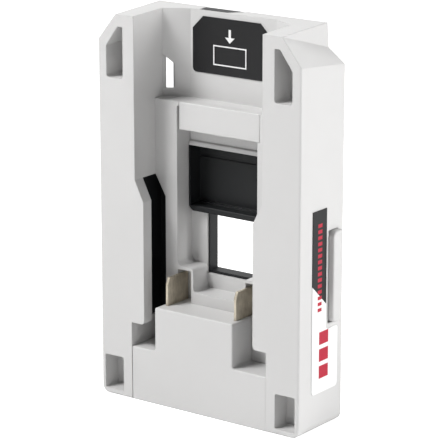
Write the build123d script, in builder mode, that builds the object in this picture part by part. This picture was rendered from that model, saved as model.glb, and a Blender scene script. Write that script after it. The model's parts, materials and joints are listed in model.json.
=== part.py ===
from build123d import *

import os

# A battery adapter: a flat upright housing that a slide-in battery pack is pushed into from
# the top, and that clips to the back of a tool or a lamp.
# Millimetres. +Z is up, the front faces -Y, and the origin is the middle of the base.
# A depth is counted from the front face towards the rear.

# Outer envelope of the housing
WIDTH = 85.0
HEIGHT = 138.3
DEPTH = 25.4
LOWER_CORNER = 2.8
EDGE_ROUND = 0.6
TOP_FALL = 1.1          # how much lower the top face lies at the front than at the rear
SIDE_WALL = 2.2
INNER_WALL = 1.8
PAST = 1.0              # how far a cut runs past an open face

# The two top corners are cut off, more deeply at the rear than at the front
TOP_CUT_ACROSS = 7.7
TOP_CUT_DOWN = 9.5
REAR_CUT_ACROSS = 7.2
REAR_CUT_KNEE = (6.6, 8.3)
REAR_CUT_DOWN = 13.1

# Clearances
SLIDE_GAP = 0.3         # between a moving piece and what it passes
SEAM = 0.1              # between two fixed pieces that sit in each other
PIN_GAP = 0.05          # round a screw or a spigot in its hole

# Open channel between the two front columns, and the raised block at its back
CHANNEL_HALF = 27.0
LABEL_WALL_HALF = 18.1
LABEL_WALL_DEPTH = DEPTH - 4.9
CHANNEL_STRAIGHT = LABEL_WALL_DEPTH - 4.5
LEDGE_Z = 107.0
LEDGE_THICK = 1.6
BLOCK_DEPTH = DEPTH - 13.7
CENTRE_BACK = DEPTH - 3.4   # rear face of the centre walls, where the rear frame seats

# Rails for the battery: flanges with a groove behind each
LEAD_IN_TOP = 80.0
LEAD_IN_BOTTOM = 72.5
RAIL_HALF = 23.3
RAIL_THICK = 4.5
RAIL_BOTTOM = 28.2
RAIL_LIP = 0.7          # how much further in the block reaches than the rails
RAIL_CORNER = 1.5
GROOVE_OUTER = 30.5
GROOVE_DEPTH = CENTRE_BACK - 3.0
LINER_THICK = 1.0       # the black liner of each groove

# Recess in the block, with the window and the opening for the finger scoop
RECESS_LEFT = 17.5
RECESS_RIGHT = 16.7
RECESS_BOTTOM = 48.2
RECESS_DEPTH = CENTRE_BACK - INNER_WALL
RECESS_CORNER = 2.0
SILL_LEFT = 10.6
SILL_RIGHT = 11.0
SILL_Z = 39.6
SILL_CORNER = 1.4
WINDOW_HALF = 10.7
WINDOW_BOTTOM = 44.9
SCOOP_OPENING_BOTTOM = 66.5

# Corner pockets in the front face
POCKET_WALL = 1.6
TOP_POCKET_INNER = 31.8
TOP_POCKET_KNEE = 34.0
TOP_POCKET_OUTER = 39.0
TOP_POCKET_Z = (HEIGHT - 23.5, HEIGHT - 12.3, HEIGHT - 5.4)
TOP_POCKET_DEPTH = 9.0
LOW_POCKET_INNER = 32.7
LOW_POCKET_OUTER = 40.9
LOW_POCKET_Z = (1.9, 14.4)
LOW_POCKET_DEPTH = 7.0
POCKET_CORNER = 1.2

# Hook slots in the slanted walls above the ledge
HOOK_SLOT_INNER = 23.2
HOOK_SLOT_OUTER = 26.8
HOOK_SLOT_Z = (109.7, 118.5, 121.7)
HOOK_BAY_Z = (106.6, 124.0)
HOOK_EXIT = 33.5        # how far out the hooks can reach behind the columns

# Terminal cover in the foot of the channel
TERMINAL_SEAM = 28.9
TERMINAL_BAND_Z = 19.5
TERMINAL_SET_BACK = 0.2
TERMINAL_LEFT = 18.8
TERMINAL_RIGHT = 14.6
TERMINAL_TOP = 35.5
TERMINAL_WALL = 1.6
TERMINAL_SIDE = 1.0
TERMINAL_ROUND = 0.9

# Contact blades and what carries them
BLADE_X = (-16.6, 12.8)
BLADE_THICK = 1.0
BLADE_FRONT = 4.2
BLADE_REAR = BLOCK_DEPTH + 4.3
BLADE_TOP = 45.5
BLADE_FOOT = 24.0
BLADE_TAIL_Z = 30.0
BLADE_TAIL_DEPTH = BLADE_REAR + 1.6
BLADE_CUT = (1.3, 2.8)
BLADE_SLOT = 1.4
NOTCH_SIDES = (0.8, 5.0)    # how far the notch in the block reaches past a blade's middle
NOTCH_TOP = 47.0
NOTCH_DEPTH = BLADE_REAR + SLIDE_GAP
FOOT_THICK = 1.0
CHAMBER_HALF = 20.8
CHAMBER_Z = (21.4, 33.7, 37.4)
STRAP_THICK = 0.8
STRAP_REACH = 7.0       # how far a bus bar runs inwards from its blade
OUTPUT_LEAF = 0.6
OUTPUT_SPREAD = 3.4
OUTPUT_Z = (24.0, 33.0)

# Battery latch: a slide with a finger scoop, pushed up against two springs
LATCH_TRAVEL = 3.0
SCOOP_Z = (67.1, 90.4)
SCOOP_FRONT = CENTRE_BACK - 3.9
SCOOP_FLOOR = DEPTH - 1.5
SCOOP_BACK = DEPTH - 0.8
SCOOP_WALL = 0.5
SCOOP_RIM = 2.0
SCOOP_STEP = (0.5, 1.2)      # height and depth of the step at the foot of the dish
SCOOP_GROOVE_Z = (85.6, 86.9)
SCOOP_GROOVE_DEEP = 0.4
SCOOP_CHAMFER = 1.5
SCOOP_ROUND = 0.4
BAR_TALL = 1.8
APRON_TOP = 98.2
APRON_THICK = 1.0
APRON_BACK = RECESS_DEPTH - SLIDE_GAP
SHELF_TALL = 1.0
WING_Z = 71.0
WING_REACH = 2.0
WING_DEPTHS = (CENTRE_BACK + SLIDE_GAP, CENTRE_BACK + 1.8)
COVER_LEFT = 16.6
COVER_RIGHT = 17.6
COVER_BOTTOM = 97.2
COVER_THICK = 2.4
COVER_ROUND = 0.3
COVER_RIB_X = 14.8
SHELF_FRONT = BLOCK_DEPTH + COVER_THICK + 1.5
LATCH_SPRING_X = 9.0
LATCH_SPRING_DEPTH = RECESS_DEPTH - 2.3
LATCH_SPRING_RADIUS = 1.75
LATCH_SPRING_WIRE = 0.5
LATCH_SPRING_TURNS = 4
SPIGOT_RADIUS = 1.2
SPIGOT_TALL = 1.2

# Release buttons in the two sides, with a catch that reaches through the rear cover
BUTTON_TRAVEL = 1.8
BUTTON_Z = (37.2, 69.2)
BUTTON_DEPTHS = (DEPTH - 8.2, DEPTH - 3.2)
BUTTON_PROUD = 2.1
BUTTON_CORNER = 2.2
BUTTON_FLANGE = 1.6
BUTTON_LIP = 1.8
CATCH_Z = (47.0, 59.0)
CATCH_DEPTHS = (DEPTH - 4.8, DEPTH - 0.5)
CATCH_THICK = 1.8
CATCH_NOSE = 1.0
BUTTON_SPRING_DEPTH = DEPTH - 7.7
BUTTON_SPRING_RADIUS = 1.9
BUTTON_SPRING_WIRE = 0.5
BUTTON_SPRING_TURNS = 4
BUTTON_SPIGOT = 1.3

# Side hollows behind the columns
HOLLOW_LOW = 32.3
HOLLOW_HIGH = 28.8
HOLLOW_STEP = 82.0

# Rear frame and rear cover
COVER_PLATE = 2.0
FRAME_HALF = 26.0
FRAME_BOTTOM = 20.2
FRAME_TOP = HEIGHT - 3.3
FRAME_WINDOW_HALF = 10.1
FRAME_WINDOW_BOTTOM = WINDOW_BOTTOM + 1.0
COLLAR_DEPTH = RECESS_DEPTH + 0.6
LUG_FRONT = (-14.2, -2.8)
LUG_REAR = (-14.7, 2.8)
LUG_SKIN = 0.3          # wall left in front of the lug
GRIP_DEPTH = 0.8
GRIP_STEP = 4.0
GRIP_COUNT = 5

# Screws
SCREW_RADIUS = 1.3
HEAD_RADIUS = 2.5
HEAD_TALL = 1.6
HEAD_SINK = 0.2
SCREW_LENGTH = 10.0
DRIVE_RADIUS = 1.0
BOSS_RADIUS = 3.3
COVER_BOSS_RADIUS = 3.6
COVER_SCREW_SPOTS = [(36.0, 24.0), (36.0, HEIGHT - 38.3)]
FRAME_SCREW_SPOTS = [(FRAME_HALF - 3.8, 91.0), (FRAME_HALF - 6.1, 57.0)]
TERMINAL_SCREW_SPOTS = [(23.0, 9.0)]

# Labels
LABEL_THICK = 0.25
FRONT_LABEL = (-17.0, 14.8, HEIGHT - 22.0, HEIGHT - 2.3)
FRONT_LABEL_CHAMFERS = (4.4, 3.2)
FRONT_LABEL_CORNER = 1.5
SIDE_LABEL_TOP = 77.8
SIDE_LABEL_BOTTOM = 13.5
SIDE_LABEL_DEPTHS = (7.3, 15.5)
SIDE_LABEL_WIDE = DEPTH - 2.8
SIDE_LABEL_SHOULDER = (33.9, 36.5)

HALF = WIDTH / 2
BLOCK_HALF = RAIL_HALF - RAIL_LIP
COVER_FRONT = DEPTH - COVER_PLATE
SLIDE_SIDES = (SLIDE_GAP - RECESS_LEFT, RECESS_RIGHT - SLIDE_GAP)
FRONT_TOP = HEIGHT - TOP_FALL
LUG_DEPTH = LABEL_WALL_DEPTH + LUG_SKIN
BAR_TOP = SCOOP_Z[1] + BAR_TALL
SHELF_Z = APRON_TOP + SHELF_TALL
RECESS_TOP = LEDGE_Z - LEDGE_THICK
SCOOP_OPENING_TOP = BAR_TOP + LATCH_TRAVEL + SLIDE_GAP
TERMINAL_DEPTH = GROOVE_DEPTH
HEAD_SEAT = HEAD_TALL + HEAD_SINK


def depth_y(depth):
    """The Y of a depth behind the front face."""
    return depth - DEPTH / 2


def at_depth(depth):
    """The upright plane at a depth, seen from the front: its x is X and its y is Z."""
    return Plane.XZ.offset(-depth_y(depth))


def block(sides, heights, depths, mode=Mode.ADD, corner=0.0):
    """Adds or cuts a square block, or one whose upright edges along the depth are rounded."""
    wide = abs(sides[1] - sides[0])
    tall = abs(heights[1] - heights[0])
    with BuildSketch(at_depth(depths[0])) as outline:
        with Locations((sum(sides) / 2, sum(heights) / 2)):
            if corner > 0:
                RectangleRounded(wide, tall, corner)
            else:
                Rectangle(wide, tall)
    extrude(outline.sketch, amount=depths[0] - depths[1], mode=mode)


def prism(points, depths, mode=Mode.ADD):
    """Adds or cuts an upright outline, carried from one depth to another."""
    with BuildSketch(at_depth(depths[0])) as outline:
        with BuildLine():
            Polyline(*points, close=True)
        make_face()
    extrude(outline.sketch, amount=depths[0] - depths[1], mode=mode)


def column(points, heights, mode=Mode.ADD):
    """Adds or cuts an outline seen from above, of points across and in depth."""
    with BuildSketch(Plane.XY.offset(heights[0])) as outline:
        with BuildLine():
            Polyline(*[(across, depth_y(depth)) for across, depth in points], close=True)
        make_face()
    extrude(outline.sketch, amount=heights[1] - heights[0], mode=mode)


def rod(spot, depths, radius, mode=Mode.ADD):
    """Adds or cuts a round rod that runs from one depth to another."""
    with BuildSketch(at_depth(depths[0])) as outline:
        with Locations(spot):
            Circle(radius)
    extrude(outline.sketch, amount=depths[0] - depths[1], mode=mode)


def mirrored(points, side):
    """The same outline on the right (1) or the left (-1)."""
    return [(side * across, height) for across, height in points]


def corners_at(outline, level):
    """A sketch's corners at one level, from left to right."""
    return outline.vertices().filter_by(lambda one: abs(one.Y - level) < SEAM).sort_by(Axis.X)


def both_sides(spots):
    """The same spots on the left and on the right."""
    return [(side * across, height) for across, height in spots for side in (-1, 1)]


def screw_group(spots, head_depth):
    """Screws driven in from the rear, with their heads' rear faces at a depth."""
    for spot in spots:
        rod(spot, (head_depth - HEAD_TALL, head_depth), HEAD_RADIUS)
        rod(spot, (head_depth - HEAD_TALL - SCREW_LENGTH, head_depth - HEAD_TALL), SCREW_RADIUS)
        with BuildSketch(at_depth(head_depth)) as drive:
            with Locations(spot):
                RegularPolygon(DRIVE_RADIUS, 6)
        extrude(drive.sketch, amount=HEAD_TALL / 2, mode=Mode.SUBTRACT)


def screw_holes(spots, head_depth, seat_depth):
    """Clearance holes and head seats, in the piece that the screws hold down."""
    for spot in spots:
        rod(spot, (head_depth - HEAD_TALL, DEPTH + PAST), HEAD_RADIUS + SEAM, Mode.SUBTRACT)
        rod(spot, (seat_depth - PAST, head_depth), SCREW_RADIUS + PIN_GAP, Mode.SUBTRACT)


def spring(name, radius, wire, turns, ends, place):
    """A coil spring along the plane's normal, between its two end planes."""
    low, high = ends
    length = high - low - wire
    start = place.from_local_coords((0, 0, low + wire / 2))
    with BuildLine() as path:
        Helix(pitch=length / turns, height=length, radius=radius, center=start,
              direction=place.z_dir)
    with BuildSketch(Plane(origin=path.line @ 0, z_dir=path.line % 0)) as section:
        Circle(wire / 2)
    with BuildPart() as coil:
        sweep(section.sketch, path=path.line, is_frenet=True)
    print(name, "gap between its turns", round(length / turns - wire, 2), "mm")
    return coil


os.makedirs("parts", exist_ok=True)
finished = []
COVER_SCREWS = both_sides(COVER_SCREW_SPOTS)
FRAME_SCREWS = both_sides(FRAME_SCREW_SPOTS)
TERMINAL_SCREWS = both_sides(TERMINAL_SCREW_SPOTS)


def finish(piece, name):
    """Labels a finished piece and writes it."""
    piece.part.label = name
    export_step(piece.part, f"parts/{name}.step")
    finished.append(name)


# Outlines that several pieces share
front_corner = [
    (HALF - TOP_CUT_ACROSS, HEIGHT + PAST),
    (HALF - TOP_CUT_ACROSS, FRONT_TOP),
    (HALF, FRONT_TOP - TOP_CUT_DOWN),
    (HALF + PAST, FRONT_TOP - TOP_CUT_DOWN),
    (HALF + PAST, HEIGHT + PAST),
]
rear_corner = [
    (HALF - REAR_CUT_ACROSS, HEIGHT + PAST),
    (HALF - REAR_CUT_KNEE[0], HEIGHT - REAR_CUT_KNEE[1]),
    (HALF, HEIGHT - REAR_CUT_DOWN),
    (HALF + PAST, HEIGHT - REAR_CUT_DOWN),
    (HALF + PAST, HEIGHT + PAST),
]
hollow_top = [
    (HALF - SIDE_WALL, HEIGHT - REAR_CUT_DOWN - SIDE_WALL / 2),
    (HALF - REAR_CUT_KNEE[0] - SIDE_WALL, HEIGHT - REAR_CUT_KNEE[1] - SIDE_WALL / 2),
    (HALF - REAR_CUT_ACROSS - SIDE_WALL, FRONT_TOP - SIDE_WALL),
]
block_side = [
    (CHANNEL_HALF, LEAD_IN_TOP),
    (BLOCK_HALF, LEAD_IN_BOTTOM),
]


# Main housing
with BuildPart() as main_housing:
    with BuildSketch(at_depth(0)) as body_outline:
        with Locations((0, HEIGHT / 2)):
            Rectangle(WIDTH, HEIGHT)
        fillet(body_outline.vertices().group_by(Axis.Y)[0], LOWER_CORNER)
    extrude(amount=-DEPTH)
    fillet(main_housing.faces().sort_by(Axis.Y)[0].edges(), EDGE_ROUND)

    # The top corners are cut by a ruled face between two different outlines
    for side in (-1, 1):
        with BuildSketch(at_depth(0)) as cut_front:
            with BuildLine():
                Polyline(*mirrored(front_corner, side), close=True)
            make_face()
        with BuildSketch(at_depth(DEPTH)) as cut_rear:
            with BuildLine():
                Polyline(*mirrored(rear_corner, side), close=True)
            make_face()
        loft([cut_front.sketch.face(), cut_rear.sketch.face()], ruled=True, mode=Mode.SUBTRACT)
    # The top face falls towards the front
    with BuildSketch(Plane.YZ.offset(-HALF - PAST)) as top_wedge:
        with BuildLine():
            Polyline((depth_y(0) - PAST, FRONT_TOP), (depth_y(0), FRONT_TOP),
                     (depth_y(DEPTH), HEIGHT), (depth_y(DEPTH), HEIGHT + PAST),
                     (depth_y(0) - PAST, HEIGHT + PAST), close=True)
        make_face()
    extrude(top_wedge.sketch, amount=WIDTH + 2 * PAST, mode=Mode.SUBTRACT)

    # Side hollows, open at the rear
    for side in (-1, 1):
        hollow = [
            (HOLLOW_LOW, SIDE_WALL),
            (HALF - SIDE_WALL, SIDE_WALL),
            *hollow_top,
            (HOLLOW_HIGH, FRONT_TOP - SIDE_WALL),
            (HOLLOW_HIGH, HOLLOW_STEP),
            (HOLLOW_LOW, HOLLOW_STEP),
        ]
        prism(mirrored(hollow, side), (SIDE_WALL, DEPTH + PAST), Mode.SUBTRACT)

    # Channel, in three layers of depth
    for side in (-1, 1):
        throat = [
            (0, HEIGHT + PAST),
            (CHANNEL_HALF, HEIGHT + PAST),
            (CHANNEL_HALF, LEAD_IN_TOP),
            (RAIL_HALF, LEAD_IN_BOTTOM),
            (RAIL_HALF, RAIL_BOTTOM),
            (TERMINAL_SEAM, RAIL_BOTTOM),
            (TERMINAL_SEAM, -PAST),
            (0, -PAST),
        ]
        behind_rail = [
            (0, HEIGHT + PAST),
            (CHANNEL_HALF, HEIGHT + PAST),
            (CHANNEL_HALF, LEAD_IN_TOP),
            (GROOVE_OUTER, LEAD_IN_TOP),
            (GROOVE_OUTER, RAIL_BOTTOM),
            (TERMINAL_SEAM, RAIL_BOTTOM),
            (TERMINAL_SEAM, -PAST),
            (0, -PAST),
        ]
        groove = [
            *block_side,
            (BLOCK_HALF, TERMINAL_BAND_Z),
            (0, TERMINAL_BAND_Z),
            (0, -PAST),
            (TERMINAL_SEAM, -PAST),
            (TERMINAL_SEAM, RAIL_BOTTOM),
            (GROOVE_OUTER, RAIL_BOTTOM),
            (GROOVE_OUTER, LEAD_IN_TOP),
        ]
        with BuildSketch(at_depth(-PAST)) as throat_outline:
            with BuildLine():
                Polyline(*mirrored(throat, side), close=True)
            make_face()
            rail_foot = throat_outline.vertices().sort_by_distance((side * RAIL_HALF, RAIL_BOTTOM))
            fillet(rail_foot[0], RAIL_CORNER)
        extrude(throat_outline.sketch, amount=-PAST - RAIL_THICK, mode=Mode.SUBTRACT)
        prism(mirrored(behind_rail, side), (RAIL_THICK, BLOCK_DEPTH), Mode.SUBTRACT)
        prism(mirrored(groove, side), (BLOCK_DEPTH, GROOVE_DEPTH), Mode.SUBTRACT)
    above_ledge = [
        (-CHANNEL_HALF, 0),
        (CHANNEL_HALF, 0),
        (CHANNEL_HALF, CHANNEL_STRAIGHT),
        (LABEL_WALL_HALF, LABEL_WALL_DEPTH),
        (-LABEL_WALL_HALF, LABEL_WALL_DEPTH),
        (-CHANNEL_HALF, CHANNEL_STRAIGHT),
    ]
    column(above_ledge, (LEDGE_Z, HEIGHT + PAST), Mode.SUBTRACT)

    # Recess in the block, its sill, the window and the scoop opening
    recess = [
        (-RECESS_LEFT, RECESS_TOP),
        (-RECESS_LEFT, RECESS_BOTTOM),
        (-SILL_LEFT, RECESS_BOTTOM),
        (-SILL_LEFT, SILL_Z),
        (SILL_RIGHT, SILL_Z),
        (SILL_RIGHT, RECESS_BOTTOM),
        (RECESS_RIGHT, RECESS_BOTTOM),
        (RECESS_RIGHT, RECESS_TOP),
    ]
    with BuildSketch(at_depth(BLOCK_DEPTH - PAST)) as recess_outline:
        with BuildLine():
            Polyline(*recess, close=True)
        make_face()
        fillet(corners_at(recess_outline, SILL_Z), SILL_CORNER)
        fillet(corners_at(recess_outline, RECESS_BOTTOM)[1:3], SILL_CORNER)
        step_corners = corners_at(recess_outline, RECESS_BOTTOM)
        fillet([step_corners[0], step_corners[-1]], RECESS_CORNER)
    extrude(recess_outline.sketch, amount=BLOCK_DEPTH - PAST - RECESS_DEPTH,
            mode=Mode.SUBTRACT)
    block((-WINDOW_HALF, WINDOW_HALF), (WINDOW_BOTTOM, SCOOP_OPENING_TOP),
          (RECESS_DEPTH - PAST, DEPTH + PAST), Mode.SUBTRACT)
    block((-RECESS_LEFT, RECESS_RIGHT), (SCOOP_OPENING_BOTTOM, SCOOP_OPENING_TOP),
          (RECESS_DEPTH - PAST, DEPTH + PAST), Mode.SUBTRACT)
    # The ledge is cut away in front, where the spring cover's top edge lies
    block((-COVER_LEFT - SEAM, COVER_RIGHT + SEAM), (COVER_BOTTOM, LEDGE_Z + PAST),
          (BLOCK_DEPTH - PAST, BLOCK_DEPTH + COVER_THICK + SEAM), Mode.SUBTRACT)

    # Rear: the seat of the rear frame, the seat of the rear cover and the space at the foot
    block((-FRAME_HALF - SEAM, FRAME_HALF + SEAM), (FRAME_BOTTOM - SEAM, FRAME_TOP + SEAM),
          (CENTRE_BACK, DEPTH + PAST), Mode.SUBTRACT)
    cover_seat = [
        (-HALF + SIDE_WALL, SIDE_WALL),
        (HALF - SIDE_WALL, SIDE_WALL),
        *hollow_top,
        *reversed(mirrored(hollow_top, -1)),
    ]
    prism(cover_seat, (COVER_FRONT, DEPTH + PAST), Mode.SUBTRACT)
    block((-GROOVE_OUTER, GROOVE_OUTER), (SIDE_WALL, FRAME_BOTTOM - SEAM),
          (GROOVE_DEPTH + INNER_WALL, DEPTH + PAST), Mode.SUBTRACT)

    # Bays behind the slanted walls, and the hook slots that lead into them
    for side in (-1, 1):
        bay = [
            (side * CHANNEL_HALF, CHANNEL_STRAIGHT + INNER_WALL),
            (side * CHANNEL_HALF, CENTRE_BACK + SEAM),
            (side * (LABEL_WALL_HALF + INNER_WALL), CENTRE_BACK + SEAM),
        ]
        column(bay, HOOK_BAY_Z, Mode.SUBTRACT)
        block((side * (CHANNEL_HALF - SEAM), side * (HOLLOW_HIGH + SEAM)), HOOK_BAY_Z,
              (CHANNEL_STRAIGHT + INNER_WALL, DEPTH + PAST), Mode.SUBTRACT)
        hook_slot = [
            (HOOK_SLOT_INNER, HOOK_SLOT_Z[0]),
            (HOOK_SLOT_OUTER, HOOK_SLOT_Z[0]),
            (HOOK_SLOT_OUTER, HOOK_SLOT_Z[2]),
            (HOOK_SLOT_INNER, HOOK_SLOT_Z[1]),
        ]
        prism(mirrored(hook_slot, side), (CHANNEL_STRAIGHT - PAST, CENTRE_BACK), Mode.SUBTRACT)

    # Lightening cavities in the block, and the chamber behind the contacts
    for side in (-1, 1):
        block((side * (RECESS_LEFT + INNER_WALL - SLIDE_GAP), side * (CHANNEL_HALF - INNER_WALL)),
              (HOLLOW_STEP, RECESS_TOP), (BLOCK_DEPTH + INNER_WALL, CENTRE_BACK + PAST),
              Mode.SUBTRACT)
    block((-CHAMBER_HALF, CHAMBER_HALF), (CHAMBER_Z[0], CHAMBER_Z[1]),
          (BLOCK_DEPTH + INNER_WALL, CENTRE_BACK + PAST), Mode.SUBTRACT)
    block((-CHAMBER_HALF, CHAMBER_HALF), (CHAMBER_Z[0], CHAMBER_Z[2]),
          (NOTCH_DEPTH + INNER_WALL, CENTRE_BACK + PAST), Mode.SUBTRACT)
    block((-TERMINAL_LEFT + TERMINAL_SIDE, TERMINAL_RIGHT - TERMINAL_SIDE),
          (CHAMBER_Z[0], TERMINAL_TOP - TERMINAL_WALL),
          (BLOCK_DEPTH - PAST, BLOCK_DEPTH + INNER_WALL + PAST), Mode.SUBTRACT)
    for blade_x in BLADE_X:
        block((blade_x - BLADE_SLOT / 2, blade_x + BLADE_SLOT / 2),
              (CHAMBER_Z[0], TERMINAL_TOP + PAST), (BLOCK_DEPTH - PAST, NOTCH_DEPTH),
              Mode.SUBTRACT)
        block((blade_x - NOTCH_SIDES[0], blade_x + NOTCH_SIDES[1]), (TERMINAL_TOP, NOTCH_TOP),
              (BLOCK_DEPTH - PAST, NOTCH_DEPTH), Mode.SUBTRACT)

    # Corner pockets, each with its own walls inside the hollow
    for side in (-1, 1):
        top_boss = [
            (TOP_POCKET_INNER - POCKET_WALL, TOP_POCKET_Z[0] - POCKET_WALL),
            (TOP_POCKET_OUTER + POCKET_WALL, TOP_POCKET_Z[0] - POCKET_WALL),
            (TOP_POCKET_OUTER + POCKET_WALL, TOP_POCKET_Z[1]),
            (TOP_POCKET_KNEE, TOP_POCKET_Z[2] + POCKET_WALL),
            (TOP_POCKET_INNER - POCKET_WALL, TOP_POCKET_Z[2] + POCKET_WALL),
        ]
        prism(mirrored(top_boss, side), (SIDE_WALL, TOP_POCKET_DEPTH + POCKET_WALL))
        block((side * (LOW_POCKET_INNER - POCKET_WALL), side * (LOW_POCKET_OUTER + PAST)),
              (SIDE_WALL, LOW_POCKET_Z[1] + POCKET_WALL),
              (SIDE_WALL, LOW_POCKET_DEPTH + POCKET_WALL))
        with BuildSketch(at_depth(0)) as pocket_outline:
            with BuildLine():
                Polyline(
                    (side * TOP_POCKET_INNER, TOP_POCKET_Z[0]),
                    (side * TOP_POCKET_OUTER, TOP_POCKET_Z[0]),
                    (side * TOP_POCKET_OUTER, TOP_POCKET_Z[1]),
                    (side * TOP_POCKET_KNEE, TOP_POCKET_Z[2]),
                    (side * TOP_POCKET_INNER, TOP_POCKET_Z[2]),
                    close=True,
                )
            make_face()
            fillet(pocket_outline.vertices().group_by(Axis.Y)[0], POCKET_CORNER)
        extrude(pocket_outline.sketch, amount=-TOP_POCKET_DEPTH, mode=Mode.SUBTRACT)
        block((side * LOW_POCKET_INNER, side * LOW_POCKET_OUTER), LOW_POCKET_Z,
              (-PAST, LOW_POCKET_DEPTH), Mode.SUBTRACT, corner=POCKET_CORNER / 2)

    # Bosses for the screws, and the spigots of the button springs
    for spot in COVER_SCREWS:
        rod(spot, (SIDE_WALL, COVER_FRONT - HEAD_SEAT), BOSS_RADIUS)
    for spot in COVER_SCREWS:
        rod(spot, (COVER_FRONT - HEAD_SEAT - SCREW_LENGTH - PAST, DEPTH),
            SCREW_RADIUS + PIN_GAP, Mode.SUBTRACT)
    for spot in FRAME_SCREWS[:2]:
        rod(spot, (BLOCK_DEPTH + INNER_WALL, CENTRE_BACK), HEAD_RADIUS)
    for spot in FRAME_SCREWS:
        rod(spot, (DEPTH - HEAD_TALL - SCREW_LENGTH, CENTRE_BACK + PAST), SCREW_RADIUS + PIN_GAP,
            Mode.SUBTRACT)
    for spot in TERMINAL_SCREWS:
        rod(spot, (GROOVE_DEPTH - PAST, DEPTH), SCREW_RADIUS + PIN_GAP, Mode.SUBTRACT)
    for side in (-1, 1):
        middle = sum(BUTTON_Z) / 2
        spigot_plane = Plane.YZ.offset(side * (HOLLOW_LOW - PAST))
        with BuildSketch(spigot_plane) as spring_spigot:
            with Locations((depth_y(BUTTON_SPRING_DEPTH), middle)):
                Circle(BUTTON_SPIGOT)
        extrude(spring_spigot.sketch, amount=side * (PAST + BUTTON_TRAVEL))
        # Window for the button in the side wall
        with BuildSketch(Plane.YZ.offset(side * (HALF - SIDE_WALL - PAST))) as button_window:
            with Locations((depth_y(sum(BUTTON_DEPTHS) / 2), middle)):
                Rectangle(BUTTON_DEPTHS[1] - BUTTON_DEPTHS[0] + 2 * SLIDE_GAP,
                          BUTTON_Z[1] - BUTTON_Z[0] + 2 * SLIDE_GAP)
        extrude(button_window.sketch, amount=side * (SIDE_WALL + 2 * PAST), mode=Mode.SUBTRACT)

    # Seats of the latch springs under the ledge
    for side in (-1, 1):
        with BuildSketch(Plane.XY.offset(RECESS_TOP - SPIGOT_TALL)) as ledge_spigot:
            with Locations((side * LATCH_SPRING_X, depth_y(LATCH_SPRING_DEPTH))):
                Circle(SPIGOT_RADIUS)
        extrude(ledge_spigot.sketch, amount=SPIGOT_TALL + PAST / 2)

    # Notch in the top edge for the rear frame's lug
    lug_notch = [
        (LUG_FRONT[0] - SEAM, LUG_DEPTH - SEAM),
        (LUG_REAR[0] - SEAM, DEPTH),
        (LUG_REAR[0] - SEAM, DEPTH + PAST),
        (LUG_REAR[1] + SEAM, DEPTH + PAST),
        (LUG_REAR[1] + SEAM, DEPTH),
        (LUG_FRONT[1] + SEAM, LUG_DEPTH - SEAM),
    ]
    column(lug_notch, (FRAME_TOP, HEIGHT + PAST), Mode.SUBTRACT)
finish(main_housing, "main_housing")


# Terminal cover: a low band across the foot, with a taller block for the two blades
with BuildPart() as terminal_cover:
    edge = TERMINAL_SEAM - SEAM
    cover_outline = [
        (-edge, 0),
        (edge, 0),
        (edge, TERMINAL_BAND_Z),
        (TERMINAL_RIGHT, TERMINAL_BAND_Z),
        (TERMINAL_RIGHT, TERMINAL_TOP),
        (-TERMINAL_LEFT, TERMINAL_TOP),
        (-TERMINAL_LEFT, TERMINAL_BAND_Z),
        (-edge, TERMINAL_BAND_Z),
    ]
    band_top = TERMINAL_BAND_Z - SEAM
    with BuildSketch(at_depth(TERMINAL_SET_BACK)) as front_outline:
        with BuildLine():
            Polyline(*cover_outline, close=True)
        make_face()
        inner_corners = front_outline.vertices().group_by(Axis.Y)[1].sort_by(Axis.X)[1:3]
        fillet(inner_corners, TERMINAL_ROUND)
    extrude(amount=TERMINAL_SET_BACK - BLOCK_DEPTH + SEAM)
    upper_edges = terminal_cover.edges().filter_by(Axis.Y).group_by(Axis.Z)[-1]
    fillet(upper_edges, TERMINAL_ROUND)
    fillet(terminal_cover.faces().sort_by(Axis.Y)[0].outer_wire().edges()
           .filter_by(lambda one: one.center().Z > TERMINAL_BAND_Z - PAST), TERMINAL_ROUND / 2)
    block((-edge, edge), (0, band_top), (BLOCK_DEPTH - SEAM, TERMINAL_DEPTH))
    block((-edge + TERMINAL_WALL, edge - TERMINAL_WALL), (TERMINAL_WALL, band_top - TERMINAL_WALL),
          (TERMINAL_SET_BACK + TERMINAL_WALL, TERMINAL_DEPTH + PAST), Mode.SUBTRACT)
    block((-TERMINAL_LEFT + TERMINAL_SIDE, TERMINAL_RIGHT - TERMINAL_SIDE),
          (TERMINAL_BAND_Z, TERMINAL_TOP - TERMINAL_WALL),
          (TERMINAL_SET_BACK + TERMINAL_WALL, BLOCK_DEPTH + PAST), Mode.SUBTRACT)
    for blade_x in BLADE_X:
        block((blade_x - BLADE_THICK / 2 - SEAM, blade_x + BLADE_THICK / 2 + SEAM),
              (TERMINAL_TOP - TERMINAL_WALL - PAST, TERMINAL_TOP + PAST),
              (BLADE_FRONT - SEAM, BLOCK_DEPTH + PAST), Mode.SUBTRACT)
    for spot in TERMINAL_SCREWS:
        rod(spot, (TERMINAL_SET_BACK + TERMINAL_WALL / 2, TERMINAL_DEPTH), BOSS_RADIUS)
        rod(spot, (TERMINAL_DEPTH - SCREW_LENGTH, TERMINAL_DEPTH + PAST),
            SCREW_RADIUS + PIN_GAP, Mode.SUBTRACT)
finish(terminal_cover, "terminal_cover")


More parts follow.
